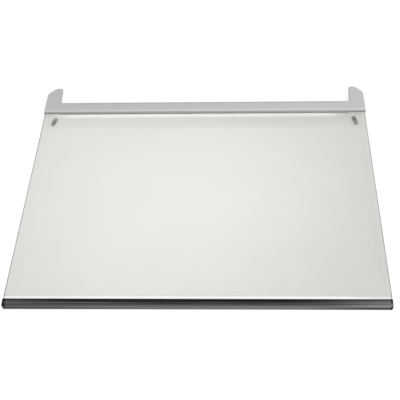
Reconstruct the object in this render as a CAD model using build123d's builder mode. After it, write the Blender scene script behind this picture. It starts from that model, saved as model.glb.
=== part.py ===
from build123d import *
import os

# Refrigerator shelf: a toughened glass pane held between an extruded front trim and a moulded
# rear trim with two rearward arms. X runs across the shelf, Y to the rear, Z up, and the origin is
# under the middle of the shelf, on the surface that it lies on. All sizes are in millimetres.

# Glass pane
glass_width = 500.0
glass_depth = 340.0
glass_thickness = 4.0
glass_corner_radius = 4.0
glass_arris = 0.5  # ground bevel along the upper and lower rim
glass_underside = 6.4  # height of the pane above the surface

# Front carrier, the pale extrusion that grips the pane's front edge
bead_reach = 2.8  # how far the bead lies over the glass
bead_overhang = 1.4  # how far the bead stands forward of the glass
bead_cover = 0.7  # thickness of the bead above the strip's tongue
bead_round = 1.2
bead_front_round = 0.4
lip_gap = 0.1  # between the bead's rear lip and the glass
lip_width = 0.9
groove_relief = 0.4  # room over the glass in front of the lip
front_shelf_reach = 5.0  # how far the lower flange lies under the glass
front_shelf_thickness = 1.8
front_shelf_round = 0.5
seat_thickness = 0.7  # wall between the groove and the strip
web_thickness = 1.6  # wall in front of the glass edge
core_wall = 1.1  # walls of the hollow nose
chamber_round = 1.0  # corners of the hollow
edge_gap = 0.4  # between an edge of the glass and the bottom of a groove

# Front strip, the dark cover that is snapped over the carrier's nose
strip_thickness = 0.8
snap_gap = 0.1  # between the strip and the carrier
nose_depth = 10.7  # from the glass edge to the front of the strip
nose_setback = 0.5  # from the glass edge to the back of the strip's hook and of the end caps
nose_fall = 0.7  # drop of the strip's top towards the front
nose_upper_round = 2.2
nose_lower_round = 2.0
tongue_depth = 1.3  # length of the strip's tongue under the bead
hook_height = 1.9
hook_round = 1.0

# End caps of the front trim
cap_thickness = 3.0
cap_back_round = 0.6
cap_edge_round = 0.6
peg_length = 12.0
peg_gap = 0.15  # around the peg in the hollow nose
peg_lead = 0.5  # bevel on the peg's end

# Rear trim
rear_grip = 10.0  # how far the glass sits in the trim
bar_depth = 21.5
rear_lip = 2.6  # height of the trim above the glass
rear_wall = 1.8
rear_edge_round = 1.0
rear_side_gap = 0.2  # between the side of the glass and the trim's end wall
rear_end_wall = 1.0
rear_front_round = 1.0
arm_length = 32.4
arm_thickness = 5.0
arm_root_width = 23.4
arm_tip_width = 21.6
arm_bevel = 12.0  # slanted outer corner of the arm's end
arm_bevel_round = 8.0
arm_inner_round = 1.6
arm_root_round = 3.0
flange_thickness = 2.0  # lower flange under the glass
flange_setback = 2.0  # from the front of the trim to the front of the flange
rail_zone = 26.0  # clear width at each side for the rails that carry the shelf
slot_relief = 0.4  # room over the glass, taken up by the crush ribs
crush_rib_height = 0.3
crush_rib_width = 1.2
rib_thickness = 1.2
rib_recess = 0.6  # from the trim's underside to the ribs
rib_pitch = 38.0
arm_rib_pitch = 11.0
arm_rib_count = 2

# Rubber pads under the rear corners of the glass
pad_length = 17.0
pad_width = 6.0
pad_thickness = 2.5
pad_round = 0.8
pad_bond = 0.1  # adhesive between the pad and the glass
pad_side_inset = 16.6  # from the side of the glass to the pad's centre
pad_setback = 15.0  # from the front of the rear trim to the pad's centre
pad_slant = 16.0  # degrees, the front end turned towards the side

# Heights
glass_top = glass_underside + glass_thickness
seat_top = glass_top + seat_thickness
strip_top = seat_top + snap_gap + strip_thickness
bead_top = strip_top + snap_gap + bead_cover
front_shelf_bottom = glass_underside - front_shelf_thickness
rear_top = glass_top + rear_lip
arm_underside = rear_top - arm_thickness

# Places along Y, from the front to the rear
overall_depth = nose_depth + glass_depth - rear_grip + bar_depth + arm_length
nose_front = -overall_depth / 2
glass_front = nose_front + nose_depth
glass_back = glass_front + glass_depth
glass_middle = (glass_front + glass_back) / 2
bar_front = glass_back - rear_grip
bar_back = bar_front + bar_depth
arm_end = bar_back + arm_length

bead_back = glass_front + bead_reach
bead_front = glass_front - bead_overhang
tongue_end = bead_front + tongue_depth
hook_back = glass_front - nose_setback
groove_front = glass_front - edge_gap
web_front = groove_front - web_thickness
front_shelf_back = glass_front + front_shelf_reach
slot_back = glass_back + edge_gap

# Places along X
trim_length = glass_width - 2 * cap_thickness
rear_half_width = glass_width / 2 + rear_side_gap + rear_end_wall

# The carrier's nose lies inside the strip, one strip thickness and one gap further in
nose_inset = strip_thickness + snap_gap
core_front = nose_front + nose_inset
core_shoulder = hook_back - nose_inset

os.makedirs("parts", exist_ok=True)


def save(piece, name):
    """Label a finished piece and write it under its own name."""
    piece.part.label = name
    export_step(piece.part, f"parts/{name}.step")


# Glass pane: flat toughened glass with rounded corners and arrised edges
with BuildPart() as glass_pane:
    with BuildSketch(Plane.XY.offset(glass_underside)):
        with Locations((0, glass_middle)):
            RectangleRounded(glass_width, glass_depth, glass_corner_radius)
    extrude(amount=glass_thickness)
    rims = glass_pane.faces().filter_by(Axis.Z).edges()
    chamfer(rims, length=glass_arris)
save(glass_pane, "glass_pane")


# Hollow of the carrier's nose, which also sets the size of the end caps' pegs
chamber_back = min(web_front, core_shoulder - core_wall)
chamber_front = core_front + core_wall
chamber_top = seat_top - nose_fall - core_wall
chamber_bottom = nose_inset + core_wall
chamber_width = chamber_back - chamber_front
chamber_height = chamber_top - chamber_bottom
chamber_centre = ((chamber_back + chamber_front) / 2, (chamber_top + chamber_bottom) / 2)

# Front carrier: glass groove with a rounded bead above, a flange below and a hollow nose in front
# Each corner has its place along Y, its height and its radius
carrier_corners = [
    (bead_back, glass_top + lip_gap, 0),
    (bead_back, bead_top, bead_round),
    (bead_front, bead_top, bead_front_round),
    (bead_front, strip_top + snap_gap, 0),
    (tongue_end + snap_gap, strip_top + snap_gap, 0),
    (tongue_end + snap_gap, seat_top, 0),
    (core_front, seat_top - nose_fall, nose_upper_round - nose_inset),
    (core_front, nose_inset, nose_lower_round - nose_inset),
    (core_shoulder, nose_inset, 0),
    (core_shoulder, front_shelf_bottom, 0),
    (front_shelf_back, front_shelf_bottom, front_shelf_round),
    (front_shelf_back, glass_underside, 0),
    (groove_front, glass_underside, 0),
    (groove_front, glass_top + groove_relief, 0),
    (bead_back - lip_width, glass_top + groove_relief, 0),
    (bead_back - lip_width, glass_top + lip_gap, 0),
]
carrier_outline = [(y, z) for y, z, _ in carrier_corners]
carrier_rounds = [corner_round for _, _, corner_round in carrier_corners]

with BuildPart() as front_carrier:
    with BuildSketch(Plane.YZ):
        with BuildLine():
            FilletPolyline(carrier_outline, radius=carrier_rounds, close=True)
        make_face()
        with Locations(chamber_centre):
            RectangleRounded(chamber_width, chamber_height, chamber_round, mode=Mode.SUBTRACT)
    extrude(amount=trim_length / 2, both=True)
save(front_carrier, "front_carrier")


# Front strip: a thin cover whose tongue goes under the bead and whose hook catches the shoulder
with BuildPart() as front_strip:
    with BuildSketch(Plane.YZ):
        with BuildLine():
            FilletPolyline(
                (tongue_end, strip_top),
                (nose_front, strip_top - nose_fall),
                (nose_front, 0),
                (hook_back, 0),
                (hook_back, hook_height),
                radius=(nose_upper_round, nose_lower_round, hook_round),
            )
            offset(amount=strip_thickness, side=Side.RIGHT)
        make_face()
    extrude(amount=trim_length / 2, both=True)
save(front_strip, "front_strip")


# End caps: a plate with the outline of the nose, and a peg that plugs the hollow behind it
for side, name in ((-1, "front_cap_left"), (1, "front_cap_right")):
    cap_fall = nose_fall * (hook_back - nose_front) / (tongue_end - nose_front)
    with BuildPart() as front_cap:
        end_plane = Plane.YZ.offset(side * trim_length / 2)
        with BuildSketch(end_plane):
            with BuildLine():
                FilletPolyline(
                    (hook_back, strip_top - nose_fall + cap_fall),
                    (nose_front, strip_top - nose_fall),
                    (nose_front, 0),
                    (hook_back, 0),
                    radius=(cap_back_round, nose_upper_round, nose_lower_round, cap_back_round),
                    close=True,
                )
            make_face()
        extrude(amount=side * cap_thickness)
        outer_face = front_cap.faces().sort_by(Axis.X)[-1 if side > 0 else 0]
        fillet(outer_face.edges(), radius=cap_edge_round)
        with BuildSketch(end_plane):
            with Locations(chamber_centre):
                RectangleRounded(
                    chamber_width - 2 * peg_gap,
                    chamber_height - 2 * peg_gap,
                    chamber_round - peg_gap,
                )
        extrude(amount=-side * peg_length)
        peg_face = front_cap.faces().sort_by(Axis.X)[0 if side > 0 else -1]
        chamfer(peg_face.edges(), length=peg_lead)
    save(front_cap, name)


# Rear trim seen from above: a bar with an arm at each end that points to the rear
rear_right = [
    (rear_half_width, bar_front),
    (rear_half_width, arm_end - arm_bevel),
    (rear_half_width - arm_bevel, arm_end),
    (rear_half_width - arm_tip_width, arm_end),
    (rear_half_width - arm_root_width, bar_back),
]
rear_left = [(-x, y) for x, y in reversed(rear_right)]
rear_rounds = [rear_front_round, arm_bevel_round, arm_bevel_round, arm_inner_round, arm_root_round]

with BuildSketch() as rear_outline:
    with BuildLine():
        FilletPolyline(rear_right + rear_left, radius=rear_rounds + rear_rounds[::-1], close=True)
    make_face()

# The moulding is hollow from below, behind the wall that closes the glass slot
with BuildSketch() as rear_hollow:
    add(rear_outline.sketch)
    offset(amount=-rear_wall)
    with Locations((0, slot_back + rear_wall)):
        Rectangle(
            2 * rear_half_width,
            overall_depth,
            align=(Align.CENTER, Align.MAX),
            mode=Mode.SUBTRACT,
        )
    # The bar's back wall runs on across the roots of the arms
    with Locations((0, bar_back)):
        Rectangle(2 * rear_half_width, rear_wall, align=(Align.CENTER, Align.MAX), mode=Mode.SUBTRACT)

# The part of the hollow that lies in the arms
with BuildSketch() as arm_hollow:
    add(rear_hollow.sketch)
    with Locations((0, bar_back)):
        Rectangle(2 * rear_half_width, arm_length, align=(Align.CENTER, Align.MIN), mode=Mode.INTERSECT)

# Stiffening ribs divide the hollow into cells, along the bar and along each arm
bar_rib_span = 2 * (rear_half_width - arm_root_width)
rib_count = int(bar_rib_span / rib_pitch) + 1
arm_middle = rear_half_width - arm_root_width / 2
with BuildSketch() as rear_cells:
    add(rear_hollow.sketch)
    with Locations((0, bar_back)):
        with GridLocations(rib_pitch, 0, rib_count, 1):
            Rectangle(rib_thickness, 2 * bar_depth, mode=Mode.SUBTRACT)
    with Locations((0, bar_back)):
        with GridLocations(2 * arm_middle, 0, 2, 1):
            with Locations(*[(0, (index + 1) * arm_rib_pitch) for index in range(arm_rib_count)]):
                Rectangle(arm_root_width, rib_thickness, mode=Mode.SUBTRACT)

with BuildPart() as rear_trim:
    extrude(rear_outline.sketch, amount=rear_top)
    fillet(rear_trim.faces().sort_by(Axis.Z)[-1].edges(), radius=rear_edge_round)
    extrude(rear_hollow.sketch, amount=rib_recess, mode=Mode.SUBTRACT)
    extrude(rear_cells.sketch, amount=rear_top - rear_wall, mode=Mode.SUBTRACT)
    # The arms are thinner than the bar and level with its top
    with BuildSketch():
        with Locations((0, bar_back)):
            Rectangle(2 * rear_half_width, arm_length, align=(Align.CENTER, Align.MIN))
    extrude(amount=arm_underside, mode=Mode.SUBTRACT)
    extrude(arm_hollow.sketch, amount=arm_underside + rib_recess, mode=Mode.SUBTRACT)
    # Slot for the glass, open to the front and closed at both ends
    slot_length = slot_back - bar_front
    with BuildSketch(Plane.XY.offset(glass_underside)):
        with Locations((0, bar_front)):
            Rectangle(
                glass_width + 2 * rear_side_gap,
                slot_length,
                align=(Align.CENTER, Align.MIN),
            )
    extrude(amount=glass_thickness + slot_relief, mode=Mode.SUBTRACT)
    # The lower flange stands clear of the surface and back from the front
    with BuildSketch():
        with Locations((0, bar_front)):
            Rectangle(2 * rear_half_width, slot_length, align=(Align.CENTER, Align.MIN))
    extrude(amount=glass_underside - flange_thickness, mode=Mode.SUBTRACT)
    with BuildSketch():
        with Locations((0, bar_front)):
            Rectangle(2 * rear_half_width, flange_setback, align=(Align.CENTER, Align.MIN))
    extrude(amount=glass_underside, mode=Mode.SUBTRACT)
    # At both sides the glass lies on the rails, so the flange stops short of them
    with BuildSketch():
        with Locations((0, bar_front)):
            with GridLocations(2 * rear_half_width - rail_zone, 0, 2, 1):
                Rectangle(rail_zone, slot_length, align=(Align.CENTER, Align.MIN))
    extrude(amount=glass_underside, mode=Mode.SUBTRACT)
    # Crush ribs under the slot's ceiling hold the glass without rattle
    with BuildSketch(Plane.XY.offset(glass_top + slot_relief)):
        with Locations((0, slot_back)):
            with GridLocations(rib_pitch, 0, rib_count, 1):
                Rectangle(
                    crush_rib_width,
                    slot_length - flange_setback,
                    align=(Align.CENTER, Align.MAX),
                )
    extrude(amount=-crush_rib_height)
save(rear_trim, "rear_trim")


# Rubber pads: rounded oblongs bonded under the glass, turned a little towards the sides
for side, name in ((-1, "rear_pad_left"), (1, "rear_pad_right")):
    with BuildPart() as rear_pad:
        with BuildSketch(Plane.XY.offset(glass_underside - pad_bond)):
            with Locations((side * (glass_width / 2 - pad_side_inset), bar_front - pad_setback)):
                SlotOverall(pad_length, pad_width, rotation=side * (pad_slant - 90))
        extrude(amount=-pad_thickness)
        fillet(rear_pad.faces().sort_by(Axis.Z)[0].edges(), radius=pad_round)
    save(rear_pad, name)
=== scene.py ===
import math

import bmesh
import bpy
from mathutils import Matrix, Vector


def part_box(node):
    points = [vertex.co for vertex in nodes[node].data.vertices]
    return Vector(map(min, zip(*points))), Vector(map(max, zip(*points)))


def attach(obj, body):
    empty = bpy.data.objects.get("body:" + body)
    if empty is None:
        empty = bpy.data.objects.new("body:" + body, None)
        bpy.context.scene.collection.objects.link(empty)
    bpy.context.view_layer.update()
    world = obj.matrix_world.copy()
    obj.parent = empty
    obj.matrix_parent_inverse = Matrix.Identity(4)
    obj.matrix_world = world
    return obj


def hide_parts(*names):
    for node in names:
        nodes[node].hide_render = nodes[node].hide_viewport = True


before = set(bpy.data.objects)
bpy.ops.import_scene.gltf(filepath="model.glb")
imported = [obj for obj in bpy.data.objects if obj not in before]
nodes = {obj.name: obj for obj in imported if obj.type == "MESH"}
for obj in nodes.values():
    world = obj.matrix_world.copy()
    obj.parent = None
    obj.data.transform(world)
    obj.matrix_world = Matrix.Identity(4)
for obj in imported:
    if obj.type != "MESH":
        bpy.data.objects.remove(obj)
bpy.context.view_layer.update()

MILLIMETRE = 0.001

# The lowest and highest corners of the pieces that the rest is set out from, in metres
pane_low, pane_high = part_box("glass_pane")
trim_low, trim_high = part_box("rear_trim")
strip_low, strip_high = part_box("front_strip")

# Ways to measure how far a point is from a place: by one axis, from a line along X, or on plan
BY_X = (1.0, 0.0, 0.0)
BY_Y = (0.0, 1.0, 0.0)
FROM_LINE = (0.0, 1.0, 1.0)
ON_PLAN = (1.0, 1.0, 0.0)
FULL_SHARE = 0.3  # share of its reach over which a mask is at full strength

# Refractive indices
GLASS_IOR = 1.52
PLASTIC_IOR = 1.5
RUBBER_IOR = 1.45

# The glass pane
MERGE_DISTANCE = 0.001 * MILLIMETRE
CLEAR_FACE = 0.99  # least upward or downward part of a clear face's normal

# The soft seal along the front of the rear trim, which also stands in for the shade line there as
# painted shade
SEAL_LENGTH = 500 * MILLIMETRE
SEAL_DEPTH = 0.8 * MILLIMETRE
SEAL_HEIGHT = 1.6 * MILLIMETRE
SEAL_ROUND = 0.15 * MILLIMETRE
SEAL_ROUND_STEPS = 4
SEAL_BOND = 0.05 * MILLIMETRE  # how far it is let into the trim
SEAL_LIFT = 0.02 * MILLIMETRE  # above the glass

# The front edge of the rear trim's lower flange, at half its thickness
FLANGE_EDGE = Vector((0.0, trim_low.y + 2.0 * MILLIMETRE, pane_low.z - 1.0 * MILLIMETRE))
# The upper rear edge of the rear trim, between its arms
ARM_LENGTH = 32.4 * MILLIMETRE
BAR_EDGE = Vector((0.0, trim_high.y - ARM_LENGTH, trim_high.z))

# The line along the top of the front strip, lightened there with wear and a painted highlight
WORN_HIGHLIGHT_LINE = Vector((0.0, strip_low.y + 3.9 * MILLIMETRE, strip_high.z))
# The joint where the strip goes under the bead, darkened with grime and painted shade
STRIP_JOINT = Vector((0.0, pane_low.y - 1.4 * MILLIMETRE, strip_high.z))
# The rounding of the strip at its right end, painted lighter as a painted highlight
END_HIGHLIGHT = Vector((strip_high.x, strip_low.y, strip_high.z - 1.2 * MILLIMETRE))
END_HIGHLIGHT_REACH = 2.9 * MILLIMETRE
END_HIGHLIGHT_AXES = (0.035, 1.0, 1.0)  # long along the strip, short across it
# The lower corners of the strip, darkened with painted shade, and how far up it reaches
SHADED_CORNERS = [
    (Vector((strip_low.x, strip_low.y, 3.5 * MILLIMETRE)), 9.5 * MILLIMETRE),
    (Vector((strip_high.x, strip_low.y, 5.0 * MILLIMETRE)), 6.0 * MILLIMETRE),
]
SHADED_AXES = (0.055, 1.0, 1.0)

# The painted highlight at the top of the right end cap
CAP_HIGHLIGHT = Vector((strip_high.x, strip_low.y + 1.5 * MILLIMETRE, strip_high.z))
CAP_HIGHLIGHT_REACH = 4.2 * MILLIMETRE
CAP_HIGHLIGHT_AXES = (0.05, 1.0, 1.0)

# The dark core of each pad: how far to the rear of the pad's middle it lies, and how strong it is; the
# right one is weaker, painted light against the darker shade over that pad
PAD_CORES = {"left": (-1.5 * MILLIMETRE, 0.9), "right": (2.5 * MILLIMETRE, 0.7)}
PAD_CORE_REACH = 6.5 * MILLIMETRE
PAD_CORE_AXES = (1.4, 1.0, 0.0)  # shorter across the pad than along it

# The marks of the ejector pins, one in each cell under the rear trim
CELL_PITCH = 38 * MILLIMETRE
CELL_COUNT = 11
CELL_MIDDLE = 38.0 * MILLIMETRE  # from the ends of the arms to the middle of the cells
CELL_CEILING = 1.8 * MILLIMETRE  # below the top of the trim
MARK_RADIUS = 2.2 * MILLIMETRE
MARK_DEPTH = 0.3 * MILLIMETRE  # half of it stands out of the ceiling
MARK_CORNERS = 24

# The photograph's view
PICTURE_WIDTH = 400  # pixels, as wide as high
CAMERA_AZIMUTH = math.radians(3.2)
CAMERA_ELEVATION = math.radians(52.68)
CAMERA_ROLL = math.radians(-2.69)
CAMERA_DISTANCE = 1.0056
AIM_RIGHT = 0.0247  # metres from the middle of the pane to where the camera points
AIM_FORWARD = 0.01125
CAMERA_TARGET = Vector((AIM_RIGHT, (pane_low.y + pane_high.y) / 2 - AIM_FORWARD, pane_high.z))
CAMERA_LENS = 64.0  # millimetres
CAMERA_SENSOR = 36.0  # millimetres wide
CAMERA_SHIFT = 17.5  # pixels that the picture is moved to the right

# The floor
FLOOR_SIZE = 12.0
FLOOR_WHITE = 0.28
FLOOR_LIFT = 0.8  # light of its own that the floor shows, which takes it to white
FAR_LIFT = 0.1  # the same, added far from the shelf where the lamps are weak
FAR_FLOOR = 2.7  # metres from the shelf where all of that is added

# The surroundings
WHITE = (1.0, 1.0, 1.0, 1.0)
AMBIENT = 0.44  # light that the surroundings cast
HORIZON = (0.15, 0.34)  # height on the unit sphere where their mirror image turns from white to grey
OVERHEAD_GREY = 0.06  # what polished faces mirror from above
FRONT_LEVEL = 0.7  # what polished faces mirror from straight above and from the front

# Soft white screens that polished faces mirror: the way to each, its level, and the angle in degrees
# where it has faded out
WIDE_SCREEN = ((-0.231, 1.0, 1.372), 4.0, 20.2)
NEAR_SCREEN = ((0.086, 1.0, 1.243), 1.2, 12.5)
END_SCREENS = [((0.25, 0.36, 0.9), 1.2, 11.0), ((-0.39, 0.35, 0.85), 1.0, 10.0)]
FOOT_LEVEL = 0.665  # what is left of the wide screen below the near screen's foot

# A soft box behind the shelf, bright along its upper edge and fading out downwards
SOFT_BOX_LEVEL = 4.7
SOFT_BOX_ENDS = (-0.362, 0.19)  # run to the right over run straight back, at its left and right end
SOFT_BOX_END_SOFTNESS = 0.017

# Level lines in the surroundings, each as its rise over run and its softness
SCREEN_FOOT = (1.068, 0.006)  # where the near screen begins
SCREEN_HEAD = (2.0, 0.09)  # where the wide and the near screen end
SOFT_BOX_FOOT = (0.96, 0.05)
SOFT_BOX_HEAD = (1.037, 0.002)
FRONT_EDGE = (3.2, 0.2)  # where the part straight above begins

# Sockets of a Mix node for colours
MIX_FACTOR, MIX_FIRST, MIX_SECOND, MIX_RESULT = 0, 6, 7, 2


class Wire:
    """One output socket of a node tree. Operators on it add Math nodes, node() adds any other node."""

    def __init__(self, tree, output=None):
        self.tree = tree
        self.output = output

    def node(self, kind, settings=None, sockets=None, output=0):
        """Add a node, its settings first and then its sockets' values or links, and give one output."""
        added = self.tree.nodes.new(kind)
        for name, value in (settings or {}).items():
            setattr(added, name, value)
        for name, value in (sockets or {}).items():
            if isinstance(value, Wire):
                self.tree.links.new(value.output, added.inputs[name])
            else:
                added.inputs[name].default_value = value
        return Wire(self.tree, added.outputs[output]) if added.outputs else None

    def math(self, operation, first, second):
        return self.node("ShaderNodeMath", {"operation": operation}, {0: first, 1: second})

    def __add__(self, other):
        return self.math("ADD", self, other)

    def __radd__(self, other):
        return self.math("ADD", other, self)

    def __sub__(self, other):
        return self.math("SUBTRACT", self, other)

    def __rsub__(self, other):
        return self.math("SUBTRACT", other, self)

    def __mul__(self, other):
        return self.math("MULTIPLY", self, other)

    def __rmul__(self, other):
        return self.math("MULTIPLY", other, self)


def new_finish(name):
    """An empty material, and the wire that its nodes are added from."""
    material = bpy.data.materials.new(name)
    material.use_nodes = True
    material.node_tree.nodes.clear()
    return material, Wire(material.node_tree)


def close_finish(material, wire, sockets):
    """Give a material one shader for its whole surface."""
    shader = wire.node("ShaderNodeBsdfPrincipled", {}, sockets)
    wire.node("ShaderNodeOutputMaterial", {}, {"Surface": shader})
    return material


def is_ray(wire, kind):
    """1 for one kind of ray, 0 for the others."""
    return wire.node("ShaderNodeLightPath", output=f"Is {kind} Ray")


def grain(wire, scale, detail=2.0, stretch=(1.0, 1.0, 1.0)):
    """Noise over the object, scale being its features per metre along each axis times the stretch."""
    place = wire.node("ShaderNodeTexCoord", output="Object")
    place = wire.node("ShaderNodeMapping", {}, {"Vector": place, "Scale": stretch})
    return wire.node("ShaderNodeTexNoise", {}, {"Vector": place, "Scale": scale, "Detail": detail})


def blend_colours(wire, factor, first, second):
    """One colour where the factor is 0, the other where it is 1. The first may be a wire."""
    first = first if isinstance(first, Wire) else (*first, 1.0)
    sockets = {MIX_FACTOR: factor, MIX_FIRST: first, MIX_SECOND: (*second, 1.0)}
    return wire.node("ShaderNodeMix", {"data_type": "RGBA"}, sockets, MIX_RESULT)


def overlaid(wire, colour, mask, strength, overlay_colour):
    """A colour covered by another, up to some strength, where the mask is 1: a stain, wear, or painted
    light and shade.
    """
    return blend_colours(wire, strength * mask, colour, overlay_colour)


def stretched(wire, value, low, high, interpolation="LINEAR"):
    """The part of a value from low to high, spread out from 0 to 1."""
    sockets = {"Value": value, "From Min": low, "From Max": high}
    return wire.node("ShaderNodeMapRange", {"interpolation_type": interpolation}, sockets)


def close_to(wire, middle, axes, reach):
    """1 at a point, line or plane, fading out reach metres away. An axis that is 0 doesn't count."""
    place = wire.node("ShaderNodeTexCoord", output="Object")
    offset = wire.node("ShaderNodeVectorMath", {"operation": "SUBTRACT"}, {0: place, 1: middle})
    offset = wire.node("ShaderNodeVectorMath", {"operation": "MULTIPLY"}, {0: offset, 1: axes})
    offset = wire.node("ShaderNodeVectorMath", {"operation": "LENGTH"}, {0: offset}, "Value")
    return stretched(wire, offset, reach, FULL_SHARE * reach)


def relief(wire, height, depth):
    """A normal that is bumped by a height from 0 to 1, depth metres in all."""
    return wire.node("ShaderNodeBump", {}, {"Height": height, "Distance": depth, "Strength": 1.0})


def clear_glass():
    """Toughened float glass: clear, with a faint green-grey cast and the haze of a wiped pane."""
    deep_cast, pale_cast = (0.603, 0.617, 0.583), (0.641, 0.654, 0.62)
    lamp_cast = (0.975, 0.98, 0.972, 1.0)
    material, wire = new_finish("pane_glass")
    haze = grain(wire, scale=9.0, detail=3.0, stretch=(1.0, 1.6, 1.0))
    wiped = grain(wire, scale=60.0, detail=3.0, stretch=(0.15, 1.0, 1.0))
    glass = wire.node(
        "ShaderNodeBsdfPrincipled",
        {},
        {
            "Base Color": blend_colours(wire, haze, deep_cast, pale_cast),
            "Roughness": 0.008 + 0.02 * wiped,
            "IOR": GLASS_IOR,
            "Transmission Weight": 1.0,
        },
    )
    open_to_lamps = wire.node("ShaderNodeBsdfTransparent", {}, {"Color": lamp_cast})
    shaders = {0: is_ray(wire, "Shadow"), 1: glass, 2: open_to_lamps}
    surface = wire.node("ShaderNodeMixShader", {}, shaders)
    wire.node("ShaderNodeOutputMaterial", {}, {"Surface": surface})
    return material


def ground_glass():
    """The pane's ground edges: satin, with the darker green-grey of glass seen endways."""
    dark_edge, pale_edge = (0.3, 0.335, 0.31), (0.4, 0.43, 0.405)
    material, wire = new_finish("ground_glass")
    tooth = grain(wire, scale=1800.0)
    drift = grain(wire, scale=25.0)
    sockets = {
        "Base Color": blend_colours(wire, drift, dark_edge, pale_edge),
        "Roughness": 0.35 + 0.2 * tooth,
        "Normal": relief(wire, tooth, depth=0.05 * MILLIMETRE),
        "IOR": GLASS_IOR,
    }
    return close_finish(material, wire, sockets)


def white_extrusion():
    """The front carrier: white semi-gloss plastic with die lines, grime and painted shade at its joint,
    painted shade towards its right end.
    """
    dull_white, clean_white = (0.9, 0.905, 0.895), (0.94, 0.94, 0.93)
    joint_grime_and_shade, end_shade = (0.3, 0.302, 0.298), (0.7, 0.702, 0.692)
    material, wire = new_finish("white_extrusion")
    die_lines = grain(wire, scale=1.0, stretch=(4.0, 1500.0, 1500.0))
    drift = grain(wire, scale=14.0)
    colour = blend_colours(wire, drift, dull_white, clean_white)
    # Grime and painted shade where the strip goes under the bead
    joint = close_to(wire, STRIP_JOINT, FROM_LINE, reach=1.3 * MILLIMETRE)
    colour = overlaid(wire, colour, joint, strength=0.4, overlay_colour=joint_grime_and_shade)
    # Painted shade: the carrier darker towards its right end
    right_end = close_to(wire, pane_high, BY_X, reach=60.0 * MILLIMETRE)
    sockets = {
        "Base Color": overlaid(wire, colour, right_end, strength=0.7, overlay_colour=end_shade),
        "Roughness": 0.28 + 0.14 * die_lines,
        "Normal": relief(wire, die_lines, depth=0.03 * MILLIMETRE),
        "IOR": PLASTIC_IOR,
    }
    return close_finish(material, wire, sockets)


def dark_brushed_metal():
    """The front strip: dark anodised metal, brushed lengthways.

    Grime and painted shade at its joint, painted shade in its lower corners and left end, painted
    highlights on its worn top and right end.
    """
    dark_metal, pale_metal = (0.06, 0.06, 0.059), (0.21, 0.21, 0.208)
    shade_and_grime, left_end_shade = (0.02, 0.02, 0.02), (0.015, 0.015, 0.015)
    highlight_metal, worn_highlight_metal = (0.36, 0.36, 0.354), (0.4, 0.4, 0.394)
    material, wire = new_finish("dark_brushed_metal")
    brushing = grain(wire, scale=1.0, detail=4.0, stretch=(9.0, 2600.0, 2600.0))
    streaks = grain(wire, scale=1.0, detail=3.0, stretch=(5.0, 520.0, 520.0))
    streaks = stretched(wire, streaks, low=0.3, high=0.7)
    cloud = grain(wire, scale=7.0)
    tone = 0.3 * brushing + 0.45 * streaks + 0.25 * cloud
    colour = blend_colours(wire, tone, dark_metal, pale_metal)
    # Grime and painted shade where the strip goes under the bead
    joint = close_to(wire, STRIP_JOINT, FROM_LINE, reach=2.6 * MILLIMETRE)
    colour = overlaid(wire, colour, joint, strength=0.8, overlay_colour=shade_and_grime)
    # Painted shade in the lower corners
    for corner, height in SHADED_CORNERS:
        shaded = close_to(wire, corner, SHADED_AXES, height)
        colour = overlaid(wire, colour, shaded, strength=0.85, overlay_colour=shade_and_grime)
    # Painted shade at the left end
    left_end = close_to(wire, strip_low, BY_X, reach=3.2 * MILLIMETRE)
    colour = overlaid(wire, colour, left_end, strength=0.85, overlay_colour=left_end_shade)
    # Painted highlight on the rounding at the right end
    end_highlight = close_to(wire, END_HIGHLIGHT, END_HIGHLIGHT_AXES, END_HIGHLIGHT_REACH)
    colour = overlaid(wire, colour, end_highlight, strength=0.8, overlay_colour=highlight_metal)
    # Wear and a painted highlight along the top of the strip
    worn_and_highlit = close_to(wire, WORN_HIGHLIGHT_LINE, FROM_LINE, reach=1.8 * MILLIMETRE) * (0.4 + 0.6 * streaks)
    sockets = {
        "Base Color": overlaid(wire, colour, worn_and_highlit, strength=0.34, overlay_colour=worn_highlight_metal),
        "Metallic": 1.0,
        "Roughness": 0.07 + 0.06 * brushing + 0.04 * streaks + 0.08 * worn_and_highlit,
        "Normal": relief(wire, brushing, depth=0.004 * MILLIMETRE),
    }
    return close_finish(material, wire, sockets)


def black_moulding():
    """The end caps: black plastic with a fine moulded grain, the right one with a grey painted
    highlight at its top.
    """
    black, faded_black = (0.008, 0.008, 0.008), (0.018, 0.018, 0.018)
    highlight_grey = (0.17, 0.17, 0.168)
    material, wire = new_finish("black_moulding")
    pits = grain(wire, scale=1600.0)
    drift = grain(wire, scale=120.0)
    colour = blend_colours(wire, drift, black, faded_black)
    # Painted highlight at the top of the right cap
    cap_highlight = close_to(wire, CAP_HIGHLIGHT, CAP_HIGHLIGHT_AXES, CAP_HIGHLIGHT_REACH)
    sockets = {
        "Base Color": blend_colours(wire, cap_highlight, colour, highlight_grey),
        "Specular IOR Level": 0.15,
        "Roughness": 0.45 + 0.18 * pits,
        "Normal": relief(wire, pits, depth=0.05 * MILLIMETRE),
        "IOR": PLASTIC_IOR,
    }
    return close_finish(material, wire, sockets)


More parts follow.
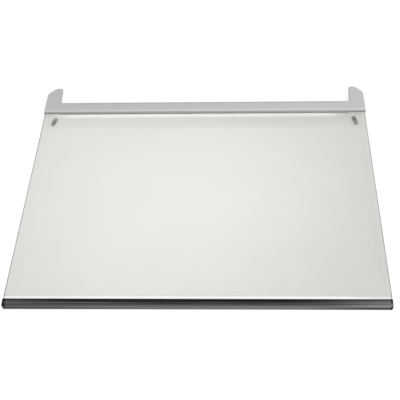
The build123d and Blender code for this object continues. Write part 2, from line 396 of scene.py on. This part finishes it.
def grey_moulding():
    """The rear trim: pale grey plastic, satin from a spark-eroded mould, with flow marks.

    Its top has a painted highlight towards the front edge and a line of painted shade along it, its
    rear edge has painted shade between the arms, its shaded flange edge is painted lighter, and the
    ends of its arms are darker in patches.
    """
    dark_grey, pale_grey = (0.483, 0.49, 0.49), (0.583, 0.59, 0.588)
    front_highlight_grey, front_shade_grey = (0.69, 0.697, 0.693), (0.3, 0.303, 0.302)
    flange_light_grey, rear_shade_grey, dark_patch_grey = (0.88, 0.885, 0.875), (0.38, 0.385, 0.383), (0.33, 0.335, 0.33)
    material, wire = new_finish("grey_moulding")
    spark = stretched(wire, grain(wire, scale=1400.0, detail=3.0), low=0.3, high=0.7)
    flow = grain(wire, scale=11.0, detail=3.0, stretch=(0.35, 1.0, 1.0))
    colour = blend_colours(wire, 0.6 * flow + 0.4 * spark, dark_grey, pale_grey)
    # Painted highlight: the top lighter towards the front edge
    front_highlight_band = close_to(wire, trim_low, BY_Y, reach=7.0 * MILLIMETRE)
    colour = overlaid(wire, colour, front_highlight_band, strength=0.8, overlay_colour=front_highlight_grey)
    # Painted shade: a dark line along the front edge
    front_line = close_to(wire, trim_low, BY_Y, reach=2.4 * MILLIMETRE)
    colour = overlaid(wire, colour, front_line, strength=0.7, overlay_colour=front_shade_grey)
    # Painted light: the shaded front of the flange made paler
    flange_edge = close_to(wire, FLANGE_EDGE, FROM_LINE, reach=2.2 * MILLIMETRE)
    colour = overlaid(wire, colour, flange_edge, strength=0.9, overlay_colour=flange_light_grey)
    # Painted shade along the rear edge between the arms
    rear_edge = close_to(wire, BAR_EDGE, FROM_LINE, reach=5.0 * MILLIMETRE)
    for end in (trim_low, trim_high):
        rear_edge = rear_edge * (1.0 - close_to(wire, end, BY_X, reach=50.0 * MILLIMETRE))
    colour = overlaid(wire, colour, rear_edge, strength=0.65, overlay_colour=rear_shade_grey)
    # Darker patches at the rear ends of the arms
    patches = grain(wire, scale=420.0, detail=4.0, stretch=(0.35, 1.0, 1.0))
    patches = stretched(wire, patches, low=0.4, high=0.62)
    dark_arm_ends = close_to(wire, trim_high, BY_Y, reach=3.5 * MILLIMETRE) * patches
    sockets = {
        "Base Color": overlaid(wire, colour, dark_arm_ends, strength=0.7, overlay_colour=dark_patch_grey),
        "Roughness": 0.42 + 0.16 * spark - 0.1 * dark_arm_ends,
        "Normal": relief(wire, spark, depth=0.05 * MILLIMETRE),
        "IOR": PLASTIC_IOR,
    }
    return close_finish(material, wire, sockets)


def soft_vinyl():
    """The seal: soft grey vinyl, satin, with dust along it and painted shade darkening its ends."""
    dark_vinyl, dusty_vinyl = (0.43, 0.432, 0.432), (0.53, 0.532, 0.528)
    shade_and_grime = (0.2, 0.201, 0.2)
    material, wire = new_finish("soft_vinyl")
    dust = grain(wire, scale=160.0, detail=3.0, stretch=(0.25, 1.0, 1.0))
    skin = grain(wire, scale=2200.0)
    colour = blend_colours(wire, dust, dark_vinyl, dusty_vinyl)
    # Painted shade: the seal darker towards each end
    for end in (trim_low, trim_high):
        shaded = close_to(wire, end, BY_X, reach=45.0 * MILLIMETRE)
        colour = overlaid(wire, colour, shaded, strength=0.5, overlay_colour=shade_and_grime)
    sockets = {
        "Base Color": colour,
        "Roughness": 0.5 + 0.2 * skin,
        "Normal": relief(wire, skin, depth=0.03 * MILLIMETRE),
        "IOR": RUBBER_IOR,
    }
    return close_finish(material, wire, sockets)


def matt_rubber():
    """The pads: matt dark rubber with a dusty bloom that is thicker towards their ends."""
    thin_bloom, thick_bloom = (0.42, 0.42, 0.412), (0.56, 0.56, 0.55)
    bare_rubber = (0.14, 0.14, 0.138)
    material, wire = new_finish("matt_rubber")
    bloom = grain(wire, scale=420.0, detail=3.0)
    pores = grain(wire, scale=2400.0)
    colour = blend_colours(wire, bloom, thin_bloom, thick_bloom)
    # The right pad's weaker core is painted light, offsetting the darker shade over it
    for side, (shift, strength) in PAD_CORES.items():
        pad_low, pad_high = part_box(f"rear_pad_{side}")
        middle = (pad_low + pad_high) / 2 + Vector((0.0, shift, 0.0))
        core = close_to(wire, middle, PAD_CORE_AXES, PAD_CORE_REACH)
        colour = overlaid(wire, colour, core, strength, overlay_colour=bare_rubber)
    sockets = {
        "Base Color": colour,
        "Roughness": 0.75 + 0.2 * pores,
        "Normal": relief(wire, pores, depth=0.04 * MILLIMETRE),
        "IOR": RUBBER_IOR,
    }
    return close_finish(material, wire, sockets)


def dress(node_name, material):
    """Give a solid its finish."""
    for slot in nodes[node_name].material_slots:
        slot.material = material


def make_pane():
    """The glass pane with two finishes: clear faces, and ground edges all round."""
    mesh = nodes["glass_pane"].data.copy()
    mesh.name = "shelf_pane"
    mesh.materials.clear()
    mesh.materials.append(clear_glass())
    mesh.materials.append(ground_glass())
    shape = bmesh.new()
    shape.from_mesh(mesh)
    bmesh.ops.remove_doubles(shape, verts=shape.verts, dist=MERGE_DISTANCE)
    shape.normal_update()
    for face in shape.faces:
        face.smooth = False
        face.material_index = int(abs(face.normal.z) < CLEAR_FACE)
    shape.to_mesh(mesh)
    shape.free()
    pane = bpy.data.objects.new("shelf_pane", mesh)
    bpy.context.scene.collection.objects.link(pane)
    pane.visible_diffuse = False
    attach(pane, "root")
    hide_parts("glass_pane")


def new_shape_tree(name, sizes):
    """An empty Geometry Nodes tree with named inputs for its sizes, its place and its finish."""
    tree = bpy.data.node_groups.new(name, "GeometryNodeTree")
    for size in sizes:
        kind = "NodeSocketInt" if size == "Count" else "NodeSocketFloat"
        tree.interface.new_socket(size, in_out="INPUT", socket_type=kind)
    tree.interface.new_socket("Place", in_out="INPUT", socket_type="NodeSocketVector")
    tree.interface.new_socket("Finish", in_out="INPUT", socket_type="NodeSocketMaterial")
    tree.interface.new_socket("Shape", in_out="OUTPUT", socket_type="NodeSocketGeometry")
    wire = Wire(tree)
    labels = (*sizes, "Place", "Finish")
    inputs = {label: wire.node("NodeGroupInput", output=label) for label in labels}
    return wire, inputs


def close_shape_tree(wire, inputs, shape):
    """Move the shape to its place, make its copies real and give it its finish."""
    sockets = {"Geometry": shape, "Translation": inputs["Place"]}
    moved = wire.node("GeometryNodeTransform", {}, sockets)
    real = wire.node("GeometryNodeRealizeInstances", {}, {"Geometry": moved})
    sockets = {"Geometry": real, "Material": inputs["Finish"]}
    finished = wire.node("GeometryNodeSetMaterial", {}, sockets)
    wire.node("NodeGroupOutput", {}, {"Shape": finished})
    return wire.tree


def seal_tree():
    """A rounded bar that is drawn along X."""
    wire, inputs = new_shape_tree("seal_shape", ("Length", "Depth", "Height", "Round"))
    end = wire.node("ShaderNodeCombineXYZ", {}, {"X": 0.5 * inputs["Length"]})
    start = wire.node("ShaderNodeCombineXYZ", {}, {"X": -0.5 * inputs["Length"]})
    path = wire.node("GeometryNodeCurvePrimitiveLine", {}, {"Start": start, "End": end})
    sockets = {"Width": inputs["Depth"], "Height": inputs["Height"]}
    section = wire.node("GeometryNodeCurvePrimitiveQuadrilateral", {}, sockets)
    sockets = {
        "Curve": section,
        "Radius": inputs["Round"],
        "Count": SEAL_ROUND_STEPS,
        "Limit Radius": True,
    }
    section = wire.node("GeometryNodeFilletCurve", {"mode": "POLY"}, sockets)
    sockets = {"Curve": path, "Profile Curve": section, "Fill Caps": True}
    return close_shape_tree(wire, inputs, wire.node("GeometryNodeCurveToMesh", {}, sockets))


def ejector_tree():
    """A row of flat discs along X, about its own middle."""
    wire, inputs = new_shape_tree("ejector_shape", ("Count", "Pitch", "Radius", "Depth"))
    step = wire.node("ShaderNodeCombineXYZ", {}, {"X": inputs["Pitch"]})
    first_x = -0.5 * inputs["Pitch"] * (inputs["Count"] - 1.0)
    first = wire.node("ShaderNodeCombineXYZ", {}, {"X": first_x})
    sockets = {"Count": inputs["Count"], "Start Location": first, "Offset": step}
    row = wire.node("GeometryNodeMeshLine", {}, sockets)
    sockets = {"Vertices": MARK_CORNERS, "Radius": inputs["Radius"], "Depth": inputs["Depth"]}
    disc = wire.node("GeometryNodeMeshCylinder", {}, sockets)
    row = wire.node("GeometryNodeInstanceOnPoints", {}, {"Points": row, "Instance": disc})
    return close_shape_tree(wire, inputs, row)


def grow(name, tree, values):
    """Run a tree and keep its result as a plain piece that rides with the shelf."""
    piece = bpy.data.objects.new(name, bpy.data.meshes.new(name))
    bpy.context.scene.collection.objects.link(piece)
    modifier = piece.modifiers.new("shape", "NODES")
    modifier.node_group = tree
    for socket in tree.interface.items_tree:
        if socket.in_out == "INPUT":
            modifier[socket.identifier] = values[socket.name]
    evaluated = piece.evaluated_get(bpy.context.evaluated_depsgraph_get())
    mesh = bpy.data.meshes.new_from_object(evaluated)
    piece.modifiers.remove(modifier)
    piece.data = mesh
    mesh.name = name
    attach(piece, "root")


def make_seal(finish):
    """The soft lip that seals the rear trim to the glass over the pane; its grey also carries the dark
    shade line along the trim's front as painted shade.
    """
    middle = trim_low.y + SEAL_BOND - SEAL_DEPTH / 2
    values = {
        "Length": SEAL_LENGTH,
        "Depth": SEAL_DEPTH,
        "Height": SEAL_HEIGHT,
        "Round": SEAL_ROUND,
        "Place": (0.0, middle, pane_high.z + SEAL_LIFT + SEAL_HEIGHT / 2),
        "Finish": finish,
    }
    grow("trim_seal_shade_line", seal_tree(), values)


def make_ejector_marks(finish):
    """Flat round marks in the cells under the rear trim, where pins pushed it out of its mould."""
    values = {
        "Count": CELL_COUNT,
        "Pitch": CELL_PITCH,
        "Radius": MARK_RADIUS,
        "Depth": MARK_DEPTH,
        "Place": (0.0, trim_high.y - CELL_MIDDLE, trim_high.z - CELL_CEILING),
        "Finish": finish,
    }
    grow("ejector_marks", ejector_tree(), values)


def make_floor():
    """A wide plain floor, white where the camera sees it, that still takes the shelf's shadow."""
    material, wire = new_finish("white_floor")
    white = (FLOOR_WHITE, FLOOR_WHITE, FLOOR_WHITE, 1.0)
    matt = wire.node("ShaderNodeBsdfDiffuse", {}, {"Color": white})
    far = 1.0 - close_to(wire, (0.0, 0.0, 0.0), ON_PLAN, FAR_FLOOR)
    lift = FLOOR_LIFT + FAR_LIFT * far
    seen = is_ray(wire, "Camera") + is_ray(wire, "Glossy") + is_ray(wire, "Transmission")
    glow = wire.node("ShaderNodeEmission", {}, {"Strength": lift * wire.math("MINIMUM", seen, 1.0)})
    surface = wire.node("ShaderNodeAddShader", {}, {0: matt, 1: glow})
    wire.node("ShaderNodeOutputMaterial", {}, {"Surface": surface})
    mesh = bpy.data.meshes.new("studio_floor")
    half = FLOOR_SIZE / 2
    corners = [(-half, -half, 0), (half, -half, 0), (half, half, 0), (-half, half, 0)]
    mesh.from_pydata(corners, [], [(0, 1, 2, 3)])
    mesh.materials.append(material)
    floor = bpy.data.objects.new("studio_floor", mesh)
    bpy.context.scene.collection.objects.link(floor)


def soft_spot(wire, way, middle, brightness, reach):
    """A round patch of light in the surroundings that fades out at an angle of reach degrees."""
    aim = {0: way, 1: Vector(middle).normalized()}
    near = wire.node("ShaderNodeVectorMath", {"operation": "DOT_PRODUCT"}, aim, "Value")
    angle = wire.math("ARCCOSINE", near, 0.0)
    return brightness * stretched(wire, angle, math.radians(reach), 0.0, "SMOOTHSTEP")


def past_edge(wire, way, across, softness):
    """1 on the far side of a straight soft edge in the surroundings, 0 on the near side."""
    sockets = {0: way, 1: across}
    over = wire.node("ShaderNodeVectorMath", {"operation": "DOT_PRODUCT"}, sockets, "Value")
    return stretched(wire, over, -softness, softness, "SMOOTHSTEP")


def above_line(wire, way, slope, softness):
    """1 above a level straight edge behind the shelf, 0 below it."""
    return past_edge(wire, way, (0.0, -slope, 1.0), softness)


def make_world():
    """Even soft light, white to the camera, with dark surroundings and white screens to be mirrored."""
    world = bpy.data.worlds.new("studio_world")
    world.use_nodes = True
    world.node_tree.nodes.clear()
    wire = Wire(world.node_tree)
    way = wire.node("ShaderNodeTexCoord", output="Generated")
    height = wire.node("ShaderNodeSeparateXYZ", {}, {"Vector": way}, "Z")
    overhead = stretched(wire, height, *HORIZON)
    raised = above_line(wire, way, *SCREEN_FOOT)
    screens = soft_spot(wire, way, *WIDE_SCREEN) * (FOOT_LEVEL + (1.0 - FOOT_LEVEL) * raised)
    screens = screens + soft_spot(wire, way, *NEAR_SCREEN) * raised
    mirror_level = screens * (1.0 - above_line(wire, way, *SCREEN_HEAD))
    soft_box = above_line(wire, way, *SOFT_BOX_FOOT) - above_line(wire, way, *SOFT_BOX_HEAD)
    left_end, right_end = SOFT_BOX_ENDS
    for across in ((1.0, -left_end, 0.0), (-1.0, right_end, 0.0)):
        soft_box = soft_box * past_edge(wire, way, across, SOFT_BOX_END_SOFTNESS)
    mirror_level = mirror_level + SOFT_BOX_LEVEL * soft_box
    grey = OVERHEAD_GREY + (FRONT_LEVEL - OVERHEAD_GREY) * above_line(wire, way, *FRONT_EDGE)
    mirror_level = mirror_level + 1.0 - overhead * (1.0 - grey)
    for end_screen in END_SCREENS:
        mirror_level = mirror_level + soft_spot(wire, way, *end_screen)
    mirrored = is_ray(wire, "Glossy")
    shown = wire.math("MINIMUM", is_ray(wire, "Camera") + is_ray(wire, "Transmission"), 1.0)
    level = shown + (1.0 - shown) * (mirrored * mirror_level + (1.0 - mirrored) * AMBIENT)
    background = wire.node("ShaderNodeBackground", {}, {"Color": WHITE, "Strength": level})
    wire.node("ShaderNodeOutputWorld", {}, {"Surface": background})
    bpy.context.scene.world = world


def way_to(azimuth, elevation):
    """The way from the shelf to a place at two angles in radians. Azimuth 0 is the front."""
    level = math.cos(elevation)
    return Vector((math.sin(azimuth) * level, -math.cos(azimuth) * level, math.sin(elevation)))


def soft_lamp(name, azimuth, elevation, distance, size, watts):
    """A square soft box that points at the middle of the shelf. Its angles are in degrees."""
    data = bpy.data.lights.new(name, "AREA")
    data.shape = "SQUARE"
    data.size = size
    data.energy = watts
    lamp = bpy.data.objects.new(name, data)
    way = way_to(math.radians(azimuth), math.radians(elevation))
    lamp.location = way * distance
    lamp.rotation_euler = way.to_track_quat("Z", "Y").to_euler()
    lamp.visible_glossy = False
    lamp.visible_transmission = False
    bpy.context.scene.collection.objects.link(lamp)


def make_camera():
    """The photograph's camera: above and in front of the shelf, turned a little about its own axis."""
    data = bpy.data.cameras.new("camera")
    data.lens = CAMERA_LENS
    data.sensor_width = CAMERA_SENSOR
    data.shift_x = -CAMERA_SHIFT / PICTURE_WIDTH
    back = way_to(CAMERA_AZIMUTH, CAMERA_ELEVATION)
    right = Vector((math.cos(CAMERA_AZIMUTH), math.sin(CAMERA_AZIMUTH), 0.0))
    axes = Matrix((right, back.cross(right), back)).transposed().to_4x4()
    camera = bpy.data.objects.new("camera", data)
    place = Matrix.Translation(CAMERA_TARGET + back * CAMERA_DISTANCE)
    camera.matrix_world = place @ axes @ Matrix.Rotation(CAMERA_ROLL, 4, "Z")
    bpy.context.scene.collection.objects.link(camera)
    bpy.context.scene.camera = camera


make_pane()
dress("front_carrier", white_extrusion())
dress("front_strip", dark_brushed_metal())
trim_finish = grey_moulding()
cap_finish = black_moulding()
pad_finish = matt_rubber()
dress("rear_trim", trim_finish)
make_ejector_marks(trim_finish)
make_seal(soft_vinyl())
for side in ("left", "right"):
    dress(f"front_cap_{side}", cap_finish)
    dress(f"rear_pad_{side}", pad_finish)

make_floor()
make_world()
soft_lamp("left_lamp", azimuth=-40, elevation=56, distance=1.6, size=1.0, watts=6.4)
soft_lamp("right_lamp", azimuth=55, elevation=54, distance=1.6, size=1.0, watts=8.6)
soft_lamp("rear_lamp", azimuth=128, elevation=33, distance=1.9, size=0.55, watts=8.0)
make_camera()
bpy.context.scene.view_settings.view_transform = "Standard"
